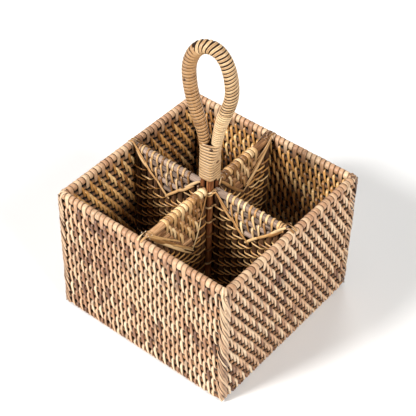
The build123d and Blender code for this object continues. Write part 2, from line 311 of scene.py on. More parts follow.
def front_rods(name, heights, seed):
    """Mitred rods of the front side at these heights, whichever side they are for."""
    end = wall_line + rod_radius
    lines = [[(-end, -wall_line, height), (end, -wall_line, height)] for height in heights]
    courses = rods(name, lines, core_radius, brown_core, seed, corners=14, step=7 * mm, uneven=0.7 * mm)
    shade_depth(courses, wall_depth)
    return mitred(courses)


for turn, side in enumerate(sides):
    wall_rods = front_rods(f"{side}_wall_courses", course_lines[1:], wall_rod_seed + turn)
    hand_over(turned(wall_rods, turn), f"{side}_wall_rods")

# Rim rods: the top course of each wall, a rod of its own that the cane whips from end to end.
# It is the same stained core, mitred at the corners.
rim_rod_seed = 21
for turn, side in enumerate(sides):
    rim_rod = front_rods(f"{side}_rim", course_lines[:1], rim_rod_seed + turn)
    hand_over(turned(rim_rod, turn), f"{side}_rim_rod")

# Wall cane: strips split from the shiny skin of the palm, stitched over two courses at a time in
# columns that step by one course, so that the stitches lie like bricks on end, outside and inside.
# Each column is carried over the rim as a wide wrap. The skin is pale outside; inside it is a deeper,
# golden amber, partly the cane's tone and partly painted shade.
stitch_pitch = 5.05 * mm
column_count = 34
stitch_cane = (3.3 * mm, 1.8 * mm)  # width and thickness of a strip
inner_cane = (3.0 * mm, 1.5 * mm)
wrap_cane = (4.75 * mm, 0.8 * mm)
cane_sides = 8
stitch_lean = 7.0 * mm
wrap_lean = 2.6 * mm
bedding = 0.35 * mm  # from a rod to the middle of the cane on it
cane_lift = core_radius + bedding
stitch_waver_spacing = 5 * mm
stitch_tint_spread = 0.12
wall_cane_seed = 100

cane_tree, given = start_tree("split_cane", {"Width": "Float", "Thickness": "Float", "Sides": "Int"})
outward = add_node(cane_tree, "GeometryNodeInputNamedAttribute", {"Name": "outward"},
                   data_type="FLOAT_VECTOR")
faced_cane = add_node(cane_tree, "GeometryNodeSetCurveNormal",
                      {0: tinted_lines(cane_tree, given), "Normal": outward}, mode="FREE")
girth = add_node(cane_tree, "GeometryNodeInputNamedAttribute", {"Name": "girth"}, data_type="FLOAT")
cane_round = add_node(cane_tree, "GeometryNodeCurvePrimitiveCircle",
                      {"Resolution": given["Sides"], "Radius": 1.0})
half_side = add_node(cane_tree, "ShaderNodeMath", {0: pi, 1: given["Sides"]}, operation="DIVIDE")
flat_turn = add_node(cane_tree, "ShaderNodeCombineXYZ", {2: half_side})
flat_up = add_node(cane_tree, "GeometryNodeTransform", {0: cane_round, "Rotation": flat_turn})
cane_size = add_node(cane_tree, "ShaderNodeCombineXYZ", {0: given["Thickness"], 1: given["Width"], 2: 2.0})
half_size = add_node(cane_tree, "ShaderNodeVectorMath", {0: cane_size, "Scale": 0.5}, operation="SCALE")
cane_section = add_node(cane_tree, "GeometryNodeTransform", {0: flat_up, "Scale": half_size})
end_tree(cane_tree, sweep(cane_tree, faced_cane, cane_section, girth), given["Finish"])

stitch_tree, given = start_tree("stitches", {
    "Stitch": "Object", "Narrowest": "Float", "Widest": "Float", "Sway": "Float", "Waver": "Float",
    "Darkest": "Float"})
pattern = add_node(stitch_tree, "GeometryNodeObjectInfo", {"Object": given["Stitch"], "As Instance": True})
turn_at = add_node(stitch_tree, "GeometryNodeInputNamedAttribute", {"Name": "turn"},
                   data_type="FLOAT_VECTOR")
facing = add_node(stitch_tree, "FunctionNodeEulerToRotation", {0: turn_at})
sway_low = add_node(stitch_tree, "ShaderNodeMath", {0: given["Sway"], 1: -1.0}, operation="MULTIPLY")
sway_any = add_node(stitch_tree, "FunctionNodeRandomValue",
                    {2: sway_low, 3: given["Sway"], "Seed": given["Seed"]}, data_type="FLOAT")
sway_turn = add_node(stitch_tree, "ShaderNodeCombineXYZ", {1: sway_any})
swayed = add_node(stitch_tree, "FunctionNodeRotateRotation", {0: facing, 1: sway_turn},
                  rotation_space="LOCAL")
width_seed = add_node(stitch_tree, "ShaderNodeMath", {0: given["Seed"], 1: 1.0}, operation="ADD")
width_any = add_node(stitch_tree, "FunctionNodeRandomValue",
                     {2: given["Narrowest"], 3: given["Widest"], "Seed": width_seed}, data_type="FLOAT")
size_any = add_node(stitch_tree, "ShaderNodeCombineXYZ", {0: width_any, 1: 1.0, 2: 1.0})
placed = add_node(stitch_tree, "GeometryNodeInstanceOnPoints", {
    "Points": given["Mesh"], "Instance": pattern.outputs["Geometry"], "Rotation": swayed,
    "Scale": size_any})
tint_seed = add_node(stitch_tree, "ShaderNodeMath", {0: given["Seed"], 1: 2.0}, operation="ADD")
strip_at = add_node(stitch_tree, "GeometryNodeInputNamedAttribute", {"Name": "strip"}, data_type="INT")
strip_tint = add_node(stitch_tree, "FunctionNodeRandomValue",
                      {2: given["Darkest"], "ID": strip_at, "Seed": tint_seed}, data_type="FLOAT")
stitch_tint = add_node(stitch_tree, "FunctionNodeRandomValue",
                       {2: -stitch_tint_spread, 3: stitch_tint_spread, "Seed": tint_seed},
                       data_type="FLOAT")
tint_any = add_node(stitch_tree, "ShaderNodeMath", {0: strip_tint, 1: stitch_tint}, operation="ADD")
tinted = add_node(stitch_tree, "GeometryNodeStoreNamedAttribute",
                  {0: placed, "Name": "tint", "Value": tint_any}, data_type="FLOAT", domain="INSTANCE")
real_stitches = add_node(stitch_tree, "GeometryNodeRealizeInstances", {0: tinted})
uneven_stitches = waver(stitch_tree, real_stitches, given["Waver"], stitch_waver_spacing)
end_tree(stitch_tree, uneven_stitches, given["Finish"])


def strips(name, lines, cane, finish, seed):
    """Strips of cane along lines of knots, each knot a place, the way its face looks and a girth."""
    mesh = chains(name, [[knot[0] for knot in line] for line in lines])
    knots = [knot for line in lines for knot in line]
    faces = mesh.attributes.new("outward", "FLOAT_VECTOR", "POINT")
    faces.data.foreach_set("vector", [part for knot in knots for part in knot[1]])
    girths = mesh.attributes.new("girth", "FLOAT", "POINT")
    girths.data.foreach_set("value", [knot[2] for knot in knots])
    return grow(name, mesh, cane_tree, {
        "Width": cane[0], "Thickness": cane[1], "Sides": cane_sides, "Seed": seed, "Finish": finish})


def lay(course_angles, lift, drift, girths, bend=1.0):
    """Knots of a strip laid over rods: each step a height, an angle up from the outward side and a girth.
    The strip drifts sideways, and a bend over 1 keeps most of the drift for its tail."""
    last = len(course_angles) - 1
    knots = []
    for step, (height, degrees) in enumerate(course_angles):
        face = Vector((0, -cos(radians(degrees)), sin(radians(degrees))))
        aside = drift * ((step / last) ** bend - 0.5 ** bend)
        knots.append((face * lift + Vector((aside, 0, height)), face, girths[step]))
    return knots


def two_rods(pitch):
    """Steps of a strip over two rods a pitch apart, as heights and angles."""
    half = pitch / 2
    return [(half, 98), (half, 70), (half, 40), (half, 10), (0, 0), (-half, -8), (-half, -32), (-half, -58),
            (-half, -84)]


def over_two(pitch, lift, drift):
    """A stitch over two rods a pitch apart: a blunt head that comes out of the seam above, and a tail
    that runs to a point as it is pulled into the seam below."""
    tail_bend = 1.6
    return lay(two_rods(pitch), lift, drift, (0.8, 1.0, 1.06, 1.06, 0.98, 0.84, 0.66, 0.44, 0.2), tail_bend)


def over_one(lift, drift):
    """A short stitch over a single rod."""
    return lay([(0, 98), (0, 60), (0, 20), (0, -20), (0, -55), (0, -84)], lift, drift,
               (0.7, 0.95, 1.0, 0.9, 0.6, 0.25))


def over_rim(pitch, lift, drift, outer_long, inner_long):
    """A wrap over a top rod, whose tails dive under that rod or under the next one down."""
    outer_end = -pitch if outer_long else 0
    inner_end = -pitch if inner_long else 0
    outer_tail = [(outer_end, degrees) for degrees in (-84, -55, -25)]
    top = [(0, degrees) for degrees in (0, 30, 60, 90, 120, 150, 180)]
    inner_tail = [(inner_end, degrees) for degrees in (205, 235, 264)]
    tail_girths = (0.3, 0.6, 0.85, 1.0)
    girths = (*tail_girths, 1.0, 1.0, 1.0, 1.0, 1.0, *reversed(tail_girths))
    return lay(outer_tail + top + inner_tail, lift, -drift, girths)


def sew(name, line, cane, finish, places, seed, spread=(0.85, 1.1), darkest=0.0):
    """Repeat a stitch at places, each a point, the angles it is turned by and the strip it is part of."""
    sway = 0.06
    uneven = 0.6 * mm
    pattern_piece = strips(f"{name}_pattern", [line], cane, finish, seed)
    pattern_piece.data.attributes.remove(pattern_piece.data.attributes["tint"])
    mesh = bpy.data.meshes.new(name)
    mesh.from_pydata([place[0] for place in places], [], [])
    turns = mesh.attributes.new("turn", "FLOAT_VECTOR", "POINT")
    turns.data.foreach_set("vector", [angle for place in places for angle in place[1]])
    strip_numbers = mesh.attributes.new("strip", "INT", "POINT")
    strip_numbers.data.foreach_set("value", [place[2] for place in places])
    sewn = grow(name, mesh, stitch_tree, {
        "Stitch": pattern_piece, "Narrowest": spread[0], "Widest": spread[1], "Sway": sway,
        "Waver": uneven, "Darkest": darkest, "Seed": seed, "Finish": finish})
    bpy.data.objects.remove(pattern_piece)
    return sewn


def split_cane(name, stops, side_shade_hex, roughness, side_shade_height, slit=0.0):
    """Split cane: smooth glossy skin, fine lines along it, some strips darker, and painted shade on its
    rounded sides and underside. A slit is the half width of a painted shade line down the middle of strips
    that are laid in pairs."""
    line_width = 0.5 * mm  # the lines are finer, drawn as coarse as they need to show
    line_length = 12 * mm
    line_share = 0.5  # of the skin's range that the lines differ by
    blotch_width = 4 * mm
    blotch_length = 14 * mm
    blotch_end, clear_start = 0.24, 0.46  # of the noise, where a blotch ends and the clear skin starts
    side_shade = colour(side_shade_hex)
    finish, tree, grain, tint = start_finish(name)
    lines = grain_noise(tree, grain, tint, line_width, line_length, detail=2.0)
    skin = tinted_ramp(tree, tint, lines, line_share, stops)
    blotches = grain_noise(tree, grain, tint, blotch_width, blotch_length, detail=1.0)
    blotted = faded(tree, blotches, blotch_end, clear_start, colour(stops[0][1]), skin)
    out, across, _ = add_node(tree, "ShaderNodeSeparateXYZ", {0: grain}).outputs
    # Painted shade: the strip darkens to its side shade colour towards its sides and underside, away from
    # the light above.
    face = faded(tree, out, 0.0, side_shade_height, side_shade, blotted)
    if slit:
        aside = add_node(tree, "ShaderNodeMath", {0: across}, operation="ABSOLUTE")
        face = faded(tree, aside, 0.0, slit, side_shade, face)
    end_finish(tree, lines, strength=0.3, depth=0.15 * mm, look={
        "Base Color": face, "Roughness": roughness, "IOR": 1.52})
    return finish


# The second colour of each split cane is its painted side shade; after the roughness comes how high up the
# strip that painted shade fades out.
pale_cane = split_cane("pale_split_cane", (
    (0.0, "#6f4a33"), (0.09, "#a0714f"), (0.2, "#d2a47e"), (0.6, "#deb891"), (1.0, "#e8cca8"),
), "#4c2d1a", 0.4, 0.8 * mm)
# Amber: a deeper, golden copy of the skin for the inside faces and the divider rows, partly the cane's tone
# and partly painted shade.
amber_shaded_cane = split_cane("amber_shaded_split_cane", (
    (0.0, "#8a5a2e"), (0.15, "#bb8549"), (0.5, "#dea661"), (1.0, "#f2c98b"),
), "#45290f", 0.34, 0.4 * mm)
rim_cane = split_cane("rim_split_cane", (
    (0.0, "#8e6546"), (0.3, "#b98b67"), (0.7, "#cba27c"), (1.0, "#dcba94"),
), "#4a2c1a", 0.5, 0.25 * mm)

outside_face = (0, 0, 0)
inside_face = (0, 0, pi)
strip_stitches = 10  # columns that one strip of cane passes before it is pieced
strip_numbers_a_course = 40
strip_shift = 7  # columns that the piecing steps along from one course to the next
column_lines = [(column - (column_count - 1) / 2) * stitch_pitch for column in range(column_count)]
long_outside = []
long_inside = []
two_outside = []
two_inside = []
one_outside = []
for column, across in enumerate(column_lines):
    even = column % 2 == 0
    (long_outside if even else long_inside).append(((across, -wall_line, rim_line), outside_face, column))
    for face, is_long, pairs in ((outside_face, even, two_outside), (inside_face, not even, two_inside)):
        for upper in range(2 if is_long else 1, course_count, 2):
            strip = strip_numbers_a_course * upper + (column + strip_shift * upper) // strip_stitches
            if upper + 1 < course_count:
                height = (course_lines[upper] + course_lines[upper + 1]) / 2
                pairs.append(((across, -wall_line, height), face, strip))
            elif face == outside_face:
                one_outside.append(((across, -wall_line, course_lines[upper]), face, strip))
corner_wrap = column_lines[-1] + stitch_pitch
end_wraps = [((hand * corner_wrap, -wall_line, rim_line), outside_face, hand) for hand in (-1, 1)]
two_line = over_two(course_pitch, cane_lift, stitch_lean)
one_line = over_one(cane_lift, stitch_lean / 2)
long_line = over_rim(course_pitch, cane_lift, wrap_lean, True, False)
short_line = over_rim(course_pitch, cane_lift, wrap_lean, False, True)
end_line = over_rim(course_pitch, cane_lift, wrap_lean, False, False)
wrap_spread = (0.95, 1.08)
wrap_darkest = 0.25

for turn, side in enumerate(sides):
    seed = wall_cane_seed + 20 * turn
    wall_cane = joined(f"{side}_wall_stitches", [
        sew("outer_stitches", two_line, stitch_cane, pale_cane, two_outside, seed),
        sew("inner_stitches", two_line, inner_cane, amber_shaded_cane, two_inside, seed + 3),
        sew("last_stitches", one_line, stitch_cane, pale_cane, one_outside, seed + 6),
        sew("long_wraps", long_line, wrap_cane, rim_cane, long_outside, seed + 9, wrap_spread,
            wrap_darkest),
        sew("short_wraps", short_line, wrap_cane, rim_cane, long_inside, seed + 12, wrap_spread,
            wrap_darkest),
        mitred(sew("end_wraps", end_line, wrap_cane, rim_cane, end_wraps, seed + 15, darkest=wrap_darkest)),
    ])
    hand_over(turned(wall_cane, turn), f"{side}_wall_cane")

# Corner cane: long narrow strips that slope down round each upright corner from one wall to the next,
# cut off at the rim and the floor. At the top, three more fan out from the rim down the corner.
# They are split cane too, a little darker than the stitches, and they tuck in under the walls' own.
corners = ("front_right", "back_right", "back_left", "front_left")
corner_face = wall_line + cane_lift
corner_drop = 30 * mm
corner_cane_size = (2.5 * mm, 1.1 * mm)
corner_spacing = 5.6 * mm
corner_top = rim_line + 0.5 * mm
corner_foot = bottom_line - 2.4 * mm
corner_seed = 200
# Its second colour is the painted shade on the strips' sides.
corner_finish = split_cane("corner_split_cane", (
    (0.0, "#6a4a34"), (0.2, "#a27c5b"), (0.6, "#c69e79"), (1.0, "#dfbf99"),
), "#3a2115", 0.42, 0.5 * mm)
# Millimetres from the corner: along the front wall to the right, and in from its face.
corner_plan = ((-7.5, 1.9), (-5.8, 0.6), (-3.8, -0.1), (-2.0, -0.05), (-0.55, 0.55), (0.05, 1.8),
               (0.15, 3.3), (0.2, 4.7), (0.05, 6.0))
slipping_part = -3  # only what is further from the corner than this slips along the wall


def square_faces(points):
    """Level directions square to a line of points, to its right as it runs."""
    last = len(points) - 1
    ways = [points[min(step + 1, last)] - points[max(step - 1, 0)] for step in range(last + 1)]
    return [Vector((way.y, -way.x, 0)).normalized() for way in ways]


def corner_place(across, inward, height):
    """A point by the front right corner, from its millimetres along the wall and in from its face."""
    return Vector((corner_face + across * mm, -corner_face + inward * mm, height))


def corner_lines(dice):
    """Knots of the strips that slope round the front right corner, no two of them quite alike."""
    last = len(corner_plan) - 1
    end_girth = 0.85
    lines = []
    for level in range(-2, int((corner_top - bottom_line + corner_drop / 2) / corner_spacing)):
        middle = corner_top - level * corner_spacing
        stand_off = dice.uniform(0, 0.5) * mm
        drop = corner_drop * dice.uniform(0.75, 1.1)
        slip = dice.uniform(-1.2, 1.2)
        strip_girth = dice.uniform(0.7, 1.15)
        points = []
        for across, inward in corner_plan:
            moved = across + slip if across < slipping_part else across
            points.append(corner_place(moved, inward, 0))
        knots = []
        for step, (point, face) in enumerate(zip(points, square_faces(points))):
            place = point + face * stand_off + Vector((0, 0, middle + drop * (0.5 - step / last)))
            if corner_foot < place.z < corner_top:
                knots.append((place, face, strip_girth * (end_girth if step == last else 1.0)))
        if len(knots) > 3:
            lines.append(knots)
    return lines


# The same two distances, the height above the rim's line, and the way the face looks.
upward = (0, 0, 1)
rightward = (1, 0, 0)
fan_girth = 1.1
fan_spots = (
    ((-4.5, 4.5, 3.9, upward), (-2.2, 2.0, 3.2, (0.5, -0.5, 0.7)), (-0.9, 0.5, -0.5, (0.7, -0.7, 0.1)),
     (-0.4, 0.8, -6, (0.8, -0.6, 0)), (0.2, 2.2, -12, (1, -0.3, 0)), (0.5, 4.0, -18, rightward),
     (0.3, 5.4, -23, rightward)),
    ((-6.4, 4.2, 3.9, upward), (-4.9, 1.4, 3.3, (0, -0.5, 0.8)), (-3.7, -0.4, -0.5, (0.1, -1, 0.1)),
     (-2.8, -0.5, -6, (0.1, -1, 0)), (-1.6, -0.2, -12, (0.4, -0.9, 0)), (-0.4, 0.7, -18, (0.8, -0.6, 0)),
     (0.1, 2.2, -24, (1, -0.2, 0)), (0.2, 3.6, -29, rightward)),
    ((-4.2, 6.6, 3.9, upward), (-1.4, 5.0, 3.3, (0.5, 0, 0.8)), (0.4, 4.0, -0.5, (1, -0.1, 0.1)),
     (0.5, 4.2, -5, rightward), (0.4, 5.0, -10, rightward), (0.2, 6.0, -14.5, rightward)),
)
fan_lines = [[(corner_place(across, inward, rim_line + above * mm), Vector(face).normalized(), fan_girth)
              for across, inward, above, face in spots] for spots in fan_spots]
for turn, corner in enumerate(corners):
    corner_cane = strips(f"{corner}_corner_strips", corner_lines(Random(turn)) + fan_lines,
                         corner_cane_size, corner_finish, corner_seed + turn)
    hand_over(turned(corner_cane, turn), f"{corner}_corner_cane")

# Base rods: mitred squares of the same stained core, one inside the other, that fill the floor.
# They lie level with the lowest course of the walls, and only cane holds them together.
square_count = int((wall_line - rod_radius) / course_pitch)
square_lines = [wall_line - (square + 1) * course_pitch for square in range(square_count)]
base_rod_seed = 31


def base_depth(place):
    """How far a point of the base stands out of the plane of its rods."""
    return abs(place.z - bottom_line) / core_radius


base_quarters = []
for turn in range(len(sides)):
    square_ends = [[(hand * (line + rod_radius), -line, bottom_line) for hand in (-1, 1)]
                   for line in square_lines]
    quarter = rods("base_quarter", square_ends, core_radius, brown_core, base_rod_seed + turn, step=8 * mm)
    shade_depth(quarter, base_depth)
    base_quarters.append(turned(mitred(quarter), turn))
hand_over(joined("base_squares", base_quarters), "base_rods")

# Base cane: stitches of pale cane over two rods at a time, on both faces of the base, with a strip
# along each mitre. On the under face they also bind the base to the lowest course of the walls.
upper_face = (-right_angle, 0, 0)
under_face = (right_angle, 0, 0)
base_mitre_knots = 8
base_cane_seed = 300
base_places = []
for face, lines in ((upper_face, square_lines), (under_face, [wall_line] + square_lines)):
    for column, across in enumerate(column_lines):
        for first in range(column % 2, len(lines) - 1, 2):
            if abs(across) + stitch_pitch < lines[first + 1]:
                middle = (lines[first] + lines[first + 1]) / 2
                strip = strip_numbers_a_course * first + column // strip_stitches
                base_places.append(((across, -middle, bottom_line), face, strip))
base_mitres = []
for way in (1, -1):
    spots = [wall_line * knot / base_mitre_knots for knot in range(1, base_mitre_knots + 1)]
    height = bottom_line + way * cane_lift
    base_mitres.append([(Vector((spot, -spot, height)), Vector((0, 0, way)), 1.0) for spot in spots])
base_cane_pieces = []
for turn in range(len(sides)):
    seed = base_cane_seed + 10 * turn
    base_cane_pieces += [
        turned(sew("base_stitches", two_line, inner_cane, pale_cane, base_places, seed), turn),
        turned(strips("base_mitres", base_mitres, inner_cane, pale_cane, seed + 5), turn)]
hand_over(joined("base_stitches", base_cane_pieces), "base_cane")

# Divider rods: half panels of level and upright sticks, mitred where they meet, between the posts and a
# wall. Each has five level sticks above and below, but the front one has eight above. The level sticks
# are weathered grey in the two parallel to the front wall and brown in the others, the upright ones umber.
divider_low, divider_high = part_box("right_divider_rods")
frame_count = 5
stick_count = 2 * frame_count + 1
panel_width = divider_high.x - divider_low.x
stick_pitch = panel_width / stick_count
half_panel = panel_width / 2
panel_middle = (divider_high.x + divider_low.x) / 2
rail_line = divider_high.z - stick_pitch / 2
sill_lines = [divider_low.z + (stick + 0.5) * stick_pitch for stick in range(frame_count)]
upright_lines = [divider_low.x + (stick + 0.5) * stick_pitch for stick in range(stick_count)]
stick_radius = 0.97 * rod_radius  # squeezed less than the courses
stick_shade_falloff = 1.6  # the painted seam shade ends sooner on the sticks than on the rods of the walls
divider_rod_seed = 41
# The last colour of each core is its seam colour, the painted shade between the sticks.
grey_core = stained_core("weathered_grey_core", ("#4d3c31", "#8a7362", "#b59b89"), "#2c1f17", 0.65)
tan_core = stained_core("stained_tan_core", ("#5f3d24", "#9a6c44", "#c4966a"), "#140b05", 0.6)
sandy_core = stained_core("stained_sandy_core", ("#6b4629", "#ad7c50", "#d6a87a"), "#140b05", 0.6)
umber_core = stained_core("stained_umber_core", ("#2a190e", "#543823", "#7a573a"), "#0a0503", 0.6)
even_mitre = {"rails": frame_count, "post_slope": 1.0}
long_mitre = {"rails": 8, "post_slope": 0.34}  # the wall's mitre runs on past the middle
halves = (("right", grey_core, even_mitre), ("back", tan_core, even_mitre),
          ("left", grey_core, even_mitre), ("front", sandy_core, long_mitre))


def level_room(across, post_slope):
    """How far from the rail or the sill the level sticks reach at a place along a half panel."""
    return min(divider_high.x - across, (across - divider_low.x) / post_slope)


def rail_lines_of(mitre):
    """Heights of the level sticks that hang below the top of a half panel, the rail first."""
    return [divider_high.z - (stick + 0.5) * stick_pitch for stick in range(mitre["rails"])]


def divider_depth(place):
    """How far a point of a half panel stands out of the plane of its sticks."""
    return stick_shade_falloff * max(abs(place.y), place.z - rail_line) / stick_radius


def half_panel_rods(name, level_finish, mitre, seed):
    """The sticks of a half panel that reaches from the posts towards +X, cut along its mitres."""
    level_heights = rail_lines_of(mitre) + sill_lines
    level_ends = [[(divider_low.x, 0, line), (divider_high.x, 0, line)] for line in level_heights]
    upright_ends = [[(line, 0, divider_low.z), (line, 0, divider_high.z)] for line in upright_lines]
    level = rods(name, level_ends, stick_radius, level_finish, seed)
    upright = rods(name, upright_ends, stick_radius, umber_core, seed + 1)
    for vertex in level.data.vertices:
        below_top = divider_high.z - vertex.co.z
        above_sill = vertex.co.z - divider_low.z
        depth = min(below_top, above_sill)
        slope = mitre["post_slope"] if below_top < above_sill else 1.0
        vertex.co.x = between(vertex.co.x, divider_low.x + slope * depth, divider_high.x - depth)
    for vertex in upright.data.vertices:
        top = divider_high.z - level_room(vertex.co.x, mitre["post_slope"])
        bottom = divider_low.z + level_room(vertex.co.x, 1.0)
        vertex.co.z = between(vertex.co.z, bottom, top)
    panel = joined(name, [level, upright])
    shade_depth(panel, divider_depth)
    return panel


for turn, (side, finish, mitre) in enumerate(halves):
    panel = half_panel_rods(f"{side}_divider_sticks", finish, mitre, divider_rod_seed + 2 * turn)
    hand_over(turned(panel, turn), f"{side}_divider_rods")

# Divider cane: narrow strips of honey brown, a lighter copy of it on the right and front dividers as
# painted light, and amber in the rows. They wrap the rail and bind the level sticks in columns and the
# upright sticks in rows, always over two sticks. Long strips cover the mitres.
# The second colour of each is the painted shade on the strips' sides.
honey_cane = split_cane("honey_split_cane", (
    (0.0, "#7d5632"), (0.2, "#ab7d4c"), (0.6, "#d3a46c"), (1.0, "#eac796"),
), "#4a2f18", 0.36, 0.3 * mm)
# A lighter copy of the honey cane: painted light for the right and front dividers, which lie in the walls'
# shade.
lit_honey_cane = split_cane("lit_honey_split_cane", (
    (0.0, "#8f6338"), (0.2, "#c08e56"), (0.6, "#e4b77c"), (1.0, "#f6d7a4"),
), "#553619", 0.36, 0.3 * mm)
slim = {
    "pitch": 6.0 * mm, "wrap": (2.4 * mm, 1.3 * mm), "stitch": (2.4 * mm, 1.4 * mm), "lean": 6.5 * mm,
    "row": 5.75 * mm, "row_cane": (2.0 * mm, 1.3 * mm), "bare_end": 9 * mm, "bare_stick": 0,
    "bare_post": 12 * mm}
dense = {
    "pitch": 5.05 * mm, "wrap": (4.4 * mm, 1.4 * mm), "stitch": (3.2 * mm, 1.6 * mm), "lean": 4.2 * mm,
    "row": 5.2 * mm, "row_cane": (2.3 * mm, 1.4 * mm), "bare_end": 22 * mm, "bare_stick": 5 * mm,
    "bare_post": 3.5 * mm}
wrap_straightness = 1.6  # how many times less a wrap leans than a stitch
face_turns = (0, pi)
stick_lift = stick_radius + bedding
row_fall = 1.25 * mm  # from one stick to the next, down to the right as each face is seen
divider_cane_seed = 400
row_line = lay(  # over two upright sticks, thin at both ends
    two_rods(stick_pitch), stick_lift, 0, (0.4, 0.7, 0.92, 1.0, 1.0, 0.95, 0.8, 0.55, 0.25))


def half_panel_places(sizes, mitre):
    """Where the wraps, the stitches and the rows of a half panel go."""
    stitch_room = 1.3  # in sticks, how far past its first one the mitre has to leave room for a stitch
    strip_columns = 4  # columns that one strip of cane passes before it is pieced
    strip_numbers_a_stick = 20
    long_wraps = []
    short_wraps = []
    stitches = []
    rows = []
    column_total = int(panel_width / sizes["pitch"])
    for column in range(column_total):
        across = panel_middle + (column - (column_total - 1) / 2) * sizes["pitch"]
        wall_room = divider_high.x - across - sizes["bare_stick"]
        rail_room = level_room(across, mitre["post_slope"])
        sill_room = level_room(across, 1.0)
        odd = column % 2
        if divider_high.x - across > sizes["bare_end"] and across - divider_low.x > sizes["bare_post"]:
            wraps = long_wraps if rail_room > 2 * stick_pitch and not odd else short_wraps
            wraps.append(((across, 0, rail_line), outside_face, column))
        for lines, skip, room in ((rail_lines_of(mitre), 2 - odd, min(rail_room, wall_room)),
                                  (sill_lines, odd, sill_room)):
            for first in range(skip, len(lines) - 1, 2):
                if room > (first + stitch_room) * stick_pitch:
                    height = (lines[first] + lines[first + 1]) / 2
                    strip = strip_numbers_a_stick * first + column // strip_columns
                    stitches += [((across, 0, height), (0, 0, turn), strip) for turn in face_turns]
    for row in range(int((divider_high.z - divider_low.z) / sizes["row"])):
        for first in range(row % 2, len(upright_lines) - 1, 2):
            middle = (upright_lines[first] + upright_lines[first + 1]) / 2
            rail_room = level_room(middle, mitre["post_slope"]) + stick_pitch
            sill_room = level_room(middle, 1.0) + stick_pitch
            for hand, turn in zip((1, -1), face_turns):
                fall = hand * row_fall * (middle - panel_middle) / stick_pitch
                height = divider_low.z + (row + 0.5) * sizes["row"] - fall
                if divider_high.z - height > rail_room and height - divider_low.z > sill_room:
                    rows.append(((middle, 0, height), (0, -right_angle, turn), row))
    return long_wraps, short_wraps, stitches, rows


def mitre_lines(runs, post_slope):
    """Strands along the two upper mitres of a half panel, on both of its faces. A run is the side of its
    mitre, the shares of half the panel where it starts and ends, and how many mm above it is at each."""
    knot_count = 9
    ripple = 0.5  # mm up and down, out of step from run to run
    sunk = 0.5 * mm  # how far the ends of a strand go in between the stitches
    lines = []
    for face in (-1, 1):
        for order, (side, start, end, start_above, end_above) in enumerate(runs):
            knots = []
            for step in range(knot_count):
                part = step / (knot_count - 1)
                down = (start + (end - start) * part) * half_panel
                above = start_above + (end_above - start_above) * part + ripple * sin(5 * part + 2 * order)
                swell = sin(pi * (step + 0.5) / knot_count)
                across = divider_low.x + post_slope * down if side == "post" else divider_high.x - down
                out = stick_lift - sunk + (0.8 + 0.35 * (order % 3)) * mm * swell
                place = Vector((across, face * out, divider_high.z - down + above * mm))
                knots.append((place, Vector((0, face, 0)), 0.6 + 0.4 * swell))
            lines.append(knots)
    return lines


mitre_cane = (3.1 * mm, 1.6 * mm)
fine_mitre_cane = (2.1 * mm, 1.3 * mm)
crossed_mitres = (
    ("post", 0.02, 0.44, 1.2, 1.6), ("post", 0.2, 0.72, -1.4, 0.6), ("post", 0.55, 1.04, 1.6, -0.6),
    ("wall", 0.0, 0.42, 2.4, 1.0), ("wall", 0.1, 0.5, -1.2, -0.8), ("wall", 0.34, 0.76, 1.2, 0.2),
    ("wall", 0.66, 1.06, 0.6, 0.4))
fanned_mitres = (
    ("post", 0.04, 0.5, 0.8, 0.8), ("post", 0.3, 1.0, -0.8, -0.4),
    ("wall", 0.0, 0.56, 2.4, 8.0), ("wall", 0.0, 0.72, 1.6, 4.6), ("wall", 0.02, 0.9, 0.4, 2.0),
    ("wall", 0.02, 1.02, -0.6, 0.2), ("wall", 0.05, 0.8, -1.8, -3.4))
long_mitres = (
    ("post", 0.04, 0.8, 0.8, 0.8), ("post", 0.6, 1.5, -0.8, -0.4),
    ("wall", 0.0, 0.7, 2.2, 3.2), ("wall", 0.02, 0.85, 0.6, 0.6), ("wall", 0.3, 1.15, 2.0, 1.4),
    ("wall", 0.62, 1.5, 0.2, 1.0), ("wall", 0.85, 1.54, -1.6, -0.6), ("wall", 0.06, 0.6, -1.0, -1.2),
    ("wall", 0.12, 1.05, 4.4, 5.6), ("wall", 0.2, 1.2, -2.4, -3.2), ("wall", 0.45, 1.45, -3.6, -4.6))
# For each half: how close its cane is laid, the cane itself, and the runs and the size of its mitre strips.
half_canes = (
    (slim, lit_honey_cane, crossed_mitres, mitre_cane), (dense, honey_cane, fanned_mitres, mitre_cane),
    (slim, honey_cane, crossed_mitres, mitre_cane), (dense, lit_honey_cane, long_mitres, fine_mitre_cane))
for turn, (side, _, mitre) in enumerate(halves):
    sizes, cane, runs, run_size = half_canes[turn]
    seed = divider_cane_seed + 20 * turn
    long_wraps, short_wraps, stitches, rows = half_panel_places(sizes, mitre)
    lean = sizes["lean"]
    long_line = over_rim(stick_pitch, stick_lift, lean / wrap_straightness, True, True)
    short_line = over_rim(stick_pitch, stick_lift, lean / wrap_straightness, False, False)
    level_line = over_two(stick_pitch, stick_lift, lean)
    divider_cane = joined(f"{side}_divider_stitches", [
        sew("long_wraps", long_line, sizes["wrap"], cane, long_wraps, seed),
        sew("short_wraps", short_line, sizes["wrap"], cane, short_wraps, seed + 3),
        sew("level_stitches", level_line, sizes["stitch"], cane, stitches, seed + 6),
        sew("row_stitches", row_line, sizes["row_cane"], amber_shaded_cane, rows, seed + 9),
        strips("mitre_strips", mitre_lines(runs, mitre["post_slope"]), run_size, cane, seed + 12),
    ])
    hand_over(turned(divider_cane, turn), f"{side}_divider_cane")

